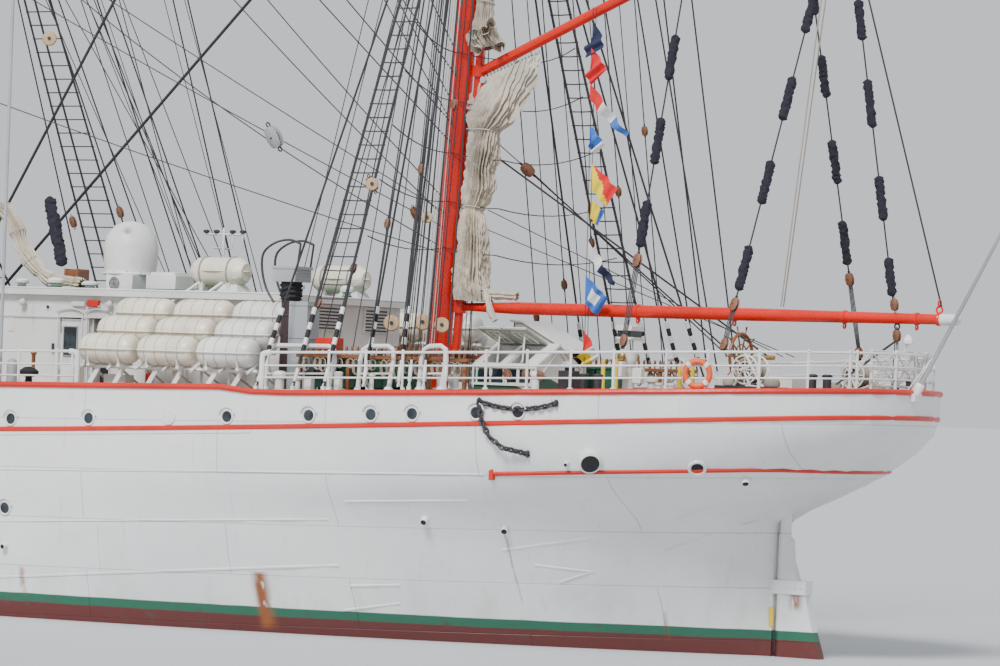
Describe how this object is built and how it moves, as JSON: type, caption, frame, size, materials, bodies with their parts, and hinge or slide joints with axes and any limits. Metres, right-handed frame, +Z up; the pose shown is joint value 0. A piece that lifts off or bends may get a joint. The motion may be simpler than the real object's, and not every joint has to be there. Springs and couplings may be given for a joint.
{
  "type": "1:10 scale model of a four-masted steel barque (tall ship)",
  "caption": "1:10 scale model of a four-masted steel sailing barque with a white hull, orange-red spars, braced yards, brailed spanker, deckhouses, rudder and propeller.",
  "frame": {"origin": "amidships on the centreline, at the waterline", "axes": "+X towards the bow, +Y to port, +Z up"},
  "size_m": [11.8581, 2.89, 6.5067],
  "materials": {
    "hull_white": "white hull paint with weathering",
    "house_white": "white deck paint",
    "spar_red": "orange-red spar paint",
    "sail_canvas": "grey-beige canvas",
    "stay_wire": "tarred wire rope",
    "raft_cream": "cream moulded shell",
    "dark_steel": "dark grey paint",
    "propeller_bronze": "bronze"
  },
  "bodies": {
    "ship": {"hull": "hull_white", "foremast": "spar_red", "mainmast": "spar_red", "mizzenmast": "spar_red", "jiggermast": "spar_red", "spanker_pole": "spar_red", "brailed_lower_spanker": "sail_canvas", "brailed_upper_spanker": "sail_canvas", "jigger_stay": "stay_wire", "jigger_topmast_stay": "stay_wire", "mizzen_stay": "stay_wire", "mizzen_topmast_stay": "stay_wire", "main_stay": "stay_wire", "main_topmast_stay": "stay_wire", "fore_stay": "stay_wire", "fore_topmast_stay": "stay_wire", "bowsprit": "spar_red", "aft_house_walls": "house_white", "aft_house_roof": "house_white", "bridge_house_walls": "house_white", "bridge_house_roof": "house_white", "fore_house": "house_white", "poop_rail": "house_white", "port_liferafts": "raft_cream", "starboard_liferafts": "raft_cream", "port_lifeboats": "house_white", "starboard_lifeboats": "house_white", "radar_dome": "house_white", "exhaust_column": "dark_steel"},
    "rudder": {"rudder": "hull_white"},
    "propeller": {"propeller": "propeller_bronze"},
    "fore_course_yard": {"fore_course_yard": "spar_red"},
    "fore_lower_topsail_yard": {"fore_lower_topsail_yard": "spar_red"},
    "fore_upper_topsail_yard": {"fore_upper_topsail_yard": "spar_red"},
    "fore_lower_topgallant_yard": {"fore_lower_topgallant_yard": "spar_red"},
    "fore_upper_topgallant_yard": {"fore_upper_topgallant_yard": "spar_red"},
    "fore_royal_yard": {"fore_royal_yard": "spar_red"},
    "main_course_yard": {"main_course_yard": "spar_red"},
    "main_lower_topsail_yard": {"main_lower_topsail_yard": "spar_red"},
    "main_upper_topsail_yard": {"main_upper_topsail_yard": "spar_red"},
    "main_lower_topgallant_yard": {"main_lower_topgallant_yard": "spar_red"},
    "main_upper_topgallant_yard": {"main_upper_topgallant_yard": "spar_red"},
    "main_royal_yard": {"main_royal_yard": "spar_red"},
    "mizzen_course_yard": {"mizzen_course_yard": "spar_red"},
    "mizzen_lower_topsail_yard": {"mizzen_lower_topsail_yard": "spar_red"},
    "mizzen_upper_topsail_yard": {"mizzen_upper_topsail_yard": "spar_red"},
    "mizzen_lower_topgallant_yard": {"mizzen_lower_topgallant_yard": "spar_red"},
    "mizzen_upper_topgallant_yard": {"mizzen_upper_topgallant_yard": "spar_red"},
    "mizzen_royal_yard": {"mizzen_royal_yard": "spar_red"},
    "spanker_boom": {"spanker_boom": "spar_red"},
    "lower_gaff": {"lower_gaff": "spar_red"},
    "upper_gaff": {"upper_gaff": "spar_red"},
    "port_aft_door": {"port_aft_door": "house_white"},
    "port_open_door": {"port_open_door": "house_white"},
    "starboard_aft_door": {"starboard_aft_door": "house_white"},
    "port_bridge_door": {"port_bridge_door": "house_white"},
    "starboard_bridge_door": {"starboard_bridge_door": "house_white"},
    "port_fore_skylight_lid": {"port_fore_skylight_lid": "house_white"},
    "port_aft_skylight_lid": {"port_aft_skylight_lid": "house_white"},
    "starboard_skylight_lid": {"starboard_skylight_lid": "house_white"}
  },
  "joints": [
    {"name": "rudder_turn", "type": "hinge", "parent": "ship", "child": "rudder", "pos_m": [-5.007, 0, 0], "axis": [0, 0, 1], "range_deg": [-35, 35]},
    {"name": "propeller_turn", "type": "hinge", "parent": "ship", "child": "propeller", "pos_m": [-4.835, 0, -0.41], "axis": [1, 0, 0], "continuous": true},
    {"name": "fore_course_brace", "type": "hinge", "parent": "ship", "child": "fore_course_yard", "pos_m": [3.28706, 0, 1.95749], "axis": [-0.0506, 0, 0.9987], "range_deg": [-28, 28]},
    {"name": "fore_lower_topsail_brace", "type": "hinge", "parent": "ship", "child": "fore_lower_topsail_yard", "pos_m": [3.2557, 0, 2.5767], "axis": [-0.0506, 0, 0.9987], "range_deg": [-28, 28]},
    {"name": "fore_upper_topsail_brace", "type": "hinge", "parent": "ship", "child": "fore_upper_topsail_yard", "pos_m": [3.24406, 0, 2.8064], "axis": [-0.0506, 0, 0.9987], "range_deg": [-28, 28]},
    {"name": "fore_lower_topgallant_brace", "type": "hinge", "parent": "ship", "child": "fore_lower_topgallant_yard", "pos_m": [3.2507, 0, 4.09839], "axis": [-0.0506, 0, 0.9987], "range_deg": [-28, 28]},
    {"name": "fore_upper_topgallant_brace", "type": "hinge", "parent": "ship", "child": "fore_upper_topgallant_yard", "pos_m": [3.24058, 0, 4.29814], "axis": [-0.0506, 0, 0.9987], "range_deg": [-28, 28]},
    {"name": "fore_royal_brace", "type": "hinge", "parent": "ship", "child": "fore_royal_yard", "pos_m": [3.21225, 0, 4.85742], "axis": [-0.0506, 0, 0.9987], "range_deg": [-28, 28]},
    {"name": "main_course_brace", "type": "hinge", "parent": "ship", "child": "main_course_yard", "pos_m": [0.87219, 0, 1.95749], "axis": [-0.0506, 0, 0.9987], "range_deg": [-28, 28]},
    {"name": "main_lower_topsail_brace", "type": "hinge", "parent": "ship", "child": "main_lower_topsail_yard", "pos_m": [0.84082, 0, 2.5767], "axis": [-0.0506, 0, 0.9987], "range_deg": [-28, 28]},
    {"name": "main_upper_topsail_brace", "type": "hinge", "parent": "ship", "child": "main_upper_topsail_yard", "pos_m": [0.82919, 0, 2.8064], "axis": [-0.0506, 0, 0.9987], "range_deg": [-28, 28]},
    {"name": "main_lower_topgallant_brace", "type": "hinge", "parent": "ship", "child": "main_lower_topgallant_yard", "pos_m": [0.83583, 0, 4.09839], "axis": [-0.0506, 0, 0.9987], "range_deg": [-28, 28]},
    {"name": "main_upper_topgallant_brace", "type": "hinge", "parent": "ship", "child": "main_upper_topgallant_yard", "pos_m": [0.82571, 0, 4.29814], "axis": [-0.0506, 0, 0.9987], "range_deg": [-28, 28]},
    {"name": "main_royal_brace", "type": "hinge", "parent": "ship", "child": "main_royal_yard", "pos_m": [0.79738, 0, 4.85742], "axis": [-0.0506, 0, 0.9987], "range_deg": [-28, 28]},
    {"name": "mizzen_course_brace", "type": "hinge", "parent": "ship", "child": "mizzen_course_yard", "pos_m": [-1.55896, 0, 1.95749], "axis": [-0.0506, 0, 0.9987], "range_deg": [-28, 28]},
    {"name": "mizzen_lower_topsail_brace", "type": "hinge", "parent": "ship", "child": "mizzen_lower_topsail_yard", "pos_m": [-1.59033, 0, 2.5767], "axis": [-0.0506, 0, 0.9987], "range_deg": [-28, 28]},
    {"name": "mizzen_upper_topsail_brace", "type": "hinge", "parent": "ship", "child": "mizzen_upper_topsail_yard", "pos_m": [-1.60197, 0, 2.8064], "axis": [-0.0506, 0, 0.9987], "range_deg": [-28, 28]},
    {"name": "mizzen_lower_topgallant_brace", "type": "hinge", "parent": "ship", "child": "mizzen_lower_topgallant_yard", "pos_m": [-1.59532, 0, 4.09839], "axis": [-0.0506, 0, 0.9987], "range_deg": [-28, 28]},
    {"name": "mizzen_upper_topgallant_brace", "type": "hinge", "parent": "ship", "child": "mizzen_upper_topgallant_yard", "pos_m": [-1.60544, 0, 4.29814], "axis": [-0.0506, 0, 0.9987], "range_deg": [-28, 28]},
    {"name": "mizzen_royal_brace", "type": "hinge", "parent": "ship", "child": "mizzen_royal_yard", "pos_m": [-1.63377, 0, 4.85742], "axis": [-0.0506, 0, 0.9987], "range_deg": [-28, 28]},
    {"name": "spanker_boom_swing", "type": "hinge", "parent": "ship", "child": "spanker_boom", "pos_m": [-3.98819, 0, 0.87624], "axis": [-0.0506, 0, 0.9987], "range_deg": [-38, 38]},
    {"name": "lower_gaff_swing", "type": "hinge", "parent": "ship", "child": "lower_gaff", "pos_m": [-4.02032, 0, 1.51043], "axis": [-0.0506, 0, 0.9987], "range_deg": [-38, 38]},
    {"name": "upper_gaff_swing", "type": "hinge", "parent": "ship", "child": "upper_gaff", "pos_m": [-4.06813, 0, 2.45422], "axis": [-0.0506, 0, 0.9987], "range_deg": [-38, 38]},
    {"name": "port_aft_door_hinge", "type": "hinge", "parent": "ship", "child": "port_aft_door", "pos_m": [-2.8598, 0.281, 0.71262], "axis": [0, 0, 1], "range_deg": [-100, 0]},
    {"name": "port_open_door_hinge", "type": "hinge", "parent": "ship", "child": "port_open_door", "pos_m": [-2.9598, 0.274, 0.71453], "axis": [0, 0, 1], "range_deg": [-88, 0]},
    {"name": "starboard_aft_door_hinge", "type": "hinge", "parent": "ship", "child": "starboard_aft_door", "pos_m": [-2.8598, -0.281, 0.71262], "axis": [0, 0, 1], "range_deg": [0, 100]},
    {"name": "port_bridge_door_hinge", "type": "hinge", "parent": "ship", "child": "port_bridge_door", "pos_m": [-0.6148, 0.396, 0.69578], "axis": [0, 0, 1], "range_deg": [-100, 0]},
    {"name": "starboard_bridge_door_hinge", "type": "hinge", "parent": "ship", "child": "starboard_bridge_door", "pos_m": [-0.6148, -0.396, 0.69578], "axis": [0, 0, 1], "range_deg": [0, 100]},
    {"name": "port_fore_skylight_lid_hinge", "type": "hinge", "parent": "ship", "child": "port_fore_skylight_lid", "pos_m": [-4.16, 0.006, 0.77896], "axis": [1, 0, 0], "range_deg": [-46, 0]},
    {"name": "port_aft_skylight_lid_hinge", "type": "hinge", "parent": "ship", "child": "port_aft_skylight_lid", "pos_m": [-4.238, 0.006, 0.77896], "axis": [1, 0, 0], "range_deg": [-46, 0]},
    {"name": "starboard_skylight_lid_hinge", "type": "hinge", "parent": "ship", "child": "starboard_skylight_lid", "pos_m": [-4.199, -0.006, 0.77896], "axis": [1, 0, 0], "range_deg": [-46, 0]}
  ],
  "couplings": [
    {"joint": "fore_lower_topsail_brace", "follows": "fore_course_brace", "ratio": 1},
    {"joint": "fore_upper_topsail_brace", "follows": "fore_course_brace", "ratio": 1},
    {"joint": "fore_lower_topgallant_brace", "follows": "fore_course_brace", "ratio": 1},
    {"joint": "fore_upper_topgallant_brace", "follows": "fore_course_brace", "ratio": 1},
    {"joint": "fore_royal_brace", "follows": "fore_course_brace", "ratio": 1},
    {"joint": "main_lower_topsail_brace", "follows": "main_course_brace", "ratio": 1},
    {"joint": "main_upper_topsail_brace", "follows": "main_course_brace", "ratio": 1},
    {"joint": "main_lower_topgallant_brace", "follows": "main_course_brace", "ratio": 1},
    {"joint": "main_upper_topgallant_brace", "follows": "main_course_brace", "ratio": 1},
    {"joint": "main_royal_brace", "follows": "main_course_brace", "ratio": 1},
    {"joint": "mizzen_lower_topsail_brace", "follows": "mizzen_course_brace", "ratio": 1},
    {"joint": "mizzen_upper_topsail_brace", "follows": "mizzen_course_brace", "ratio": 1},
    {"joint": "mizzen_lower_topgallant_brace", "follows": "mizzen_course_brace", "ratio": 1},
    {"joint": "mizzen_upper_topgallant_brace", "follows": "mizzen_course_brace", "ratio": 1},
    {"joint": "mizzen_royal_brace", "follows": "mizzen_course_brace", "ratio": 1},
    {"joint": "lower_gaff_swing", "follows": "spanker_boom_swing", "ratio": 1},
    {"joint": "upper_gaff_swing", "follows": "spanker_boom_swing", "ratio": 1}
  ]
}
